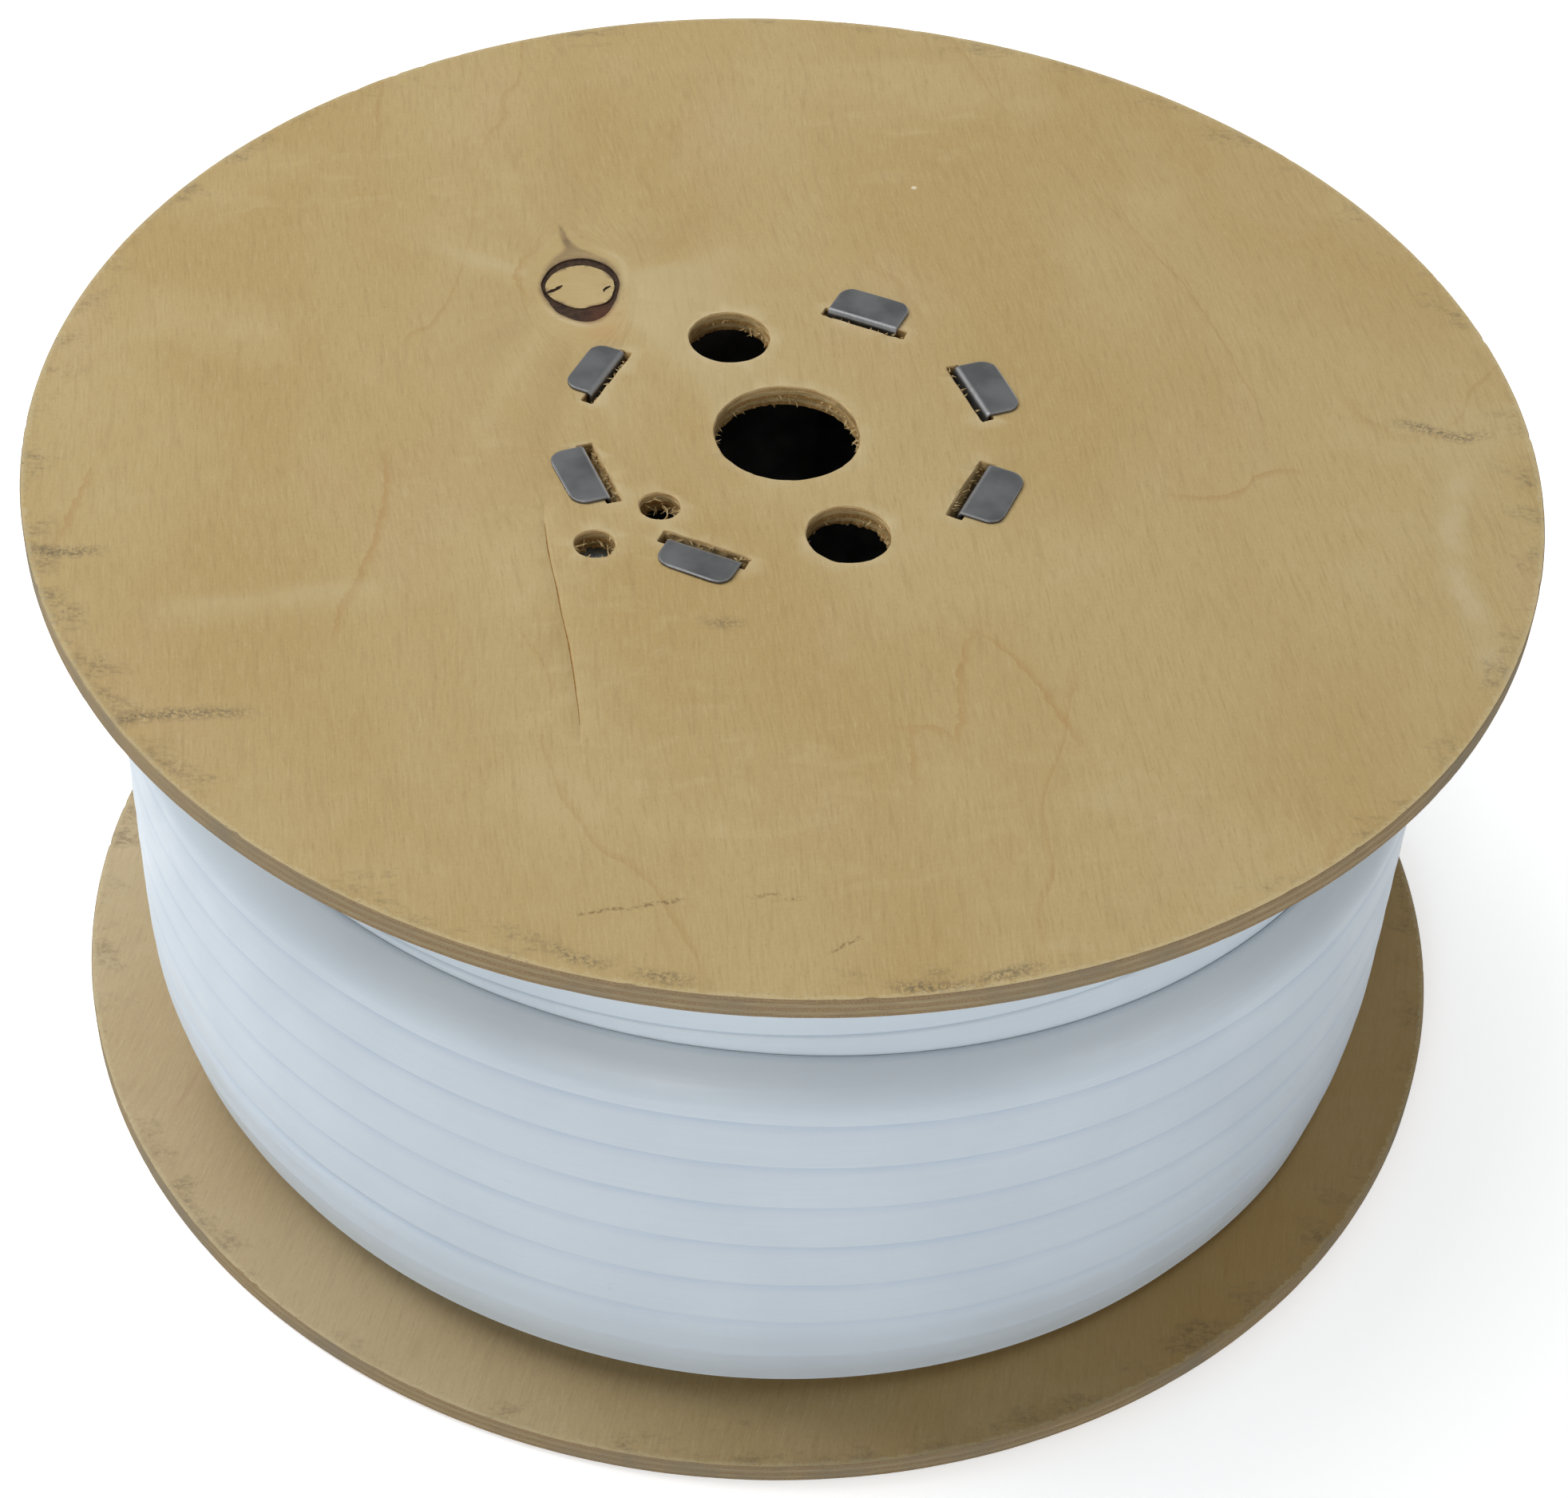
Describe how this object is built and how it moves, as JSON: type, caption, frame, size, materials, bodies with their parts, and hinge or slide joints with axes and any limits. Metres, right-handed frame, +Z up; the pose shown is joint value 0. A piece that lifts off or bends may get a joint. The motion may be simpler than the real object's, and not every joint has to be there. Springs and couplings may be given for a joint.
{
  "type": "wooden cable drum",
  "caption": "Small drum with round plywood flanges on a rolled steel barrel whose tabs are bent over outside, wound nearly full with pale flat cable.",
  "frame": {"origin": "on the floor under the middle of the drum, at the outer face of the lower tabs", "axes": "+Z up along the axis of the spindle hole, +Y through one of the two drive holes"},
  "size_m": [0.42, 0.42, 0.202],
  "materials": {
    "plywood": "bare birch plywood, sanded, slightly soiled",
    "steel": "dull bare sheet steel with scuffed bends",
    "cable_sheath": "pale satin cable sheath"
  },
  "bodies": {
    "root": {"top_flange": "plywood", "bottom_flange": "plywood", "barrel": "steel", "cable_winding": "cable_sheath"}
  },
  "joints": []
}
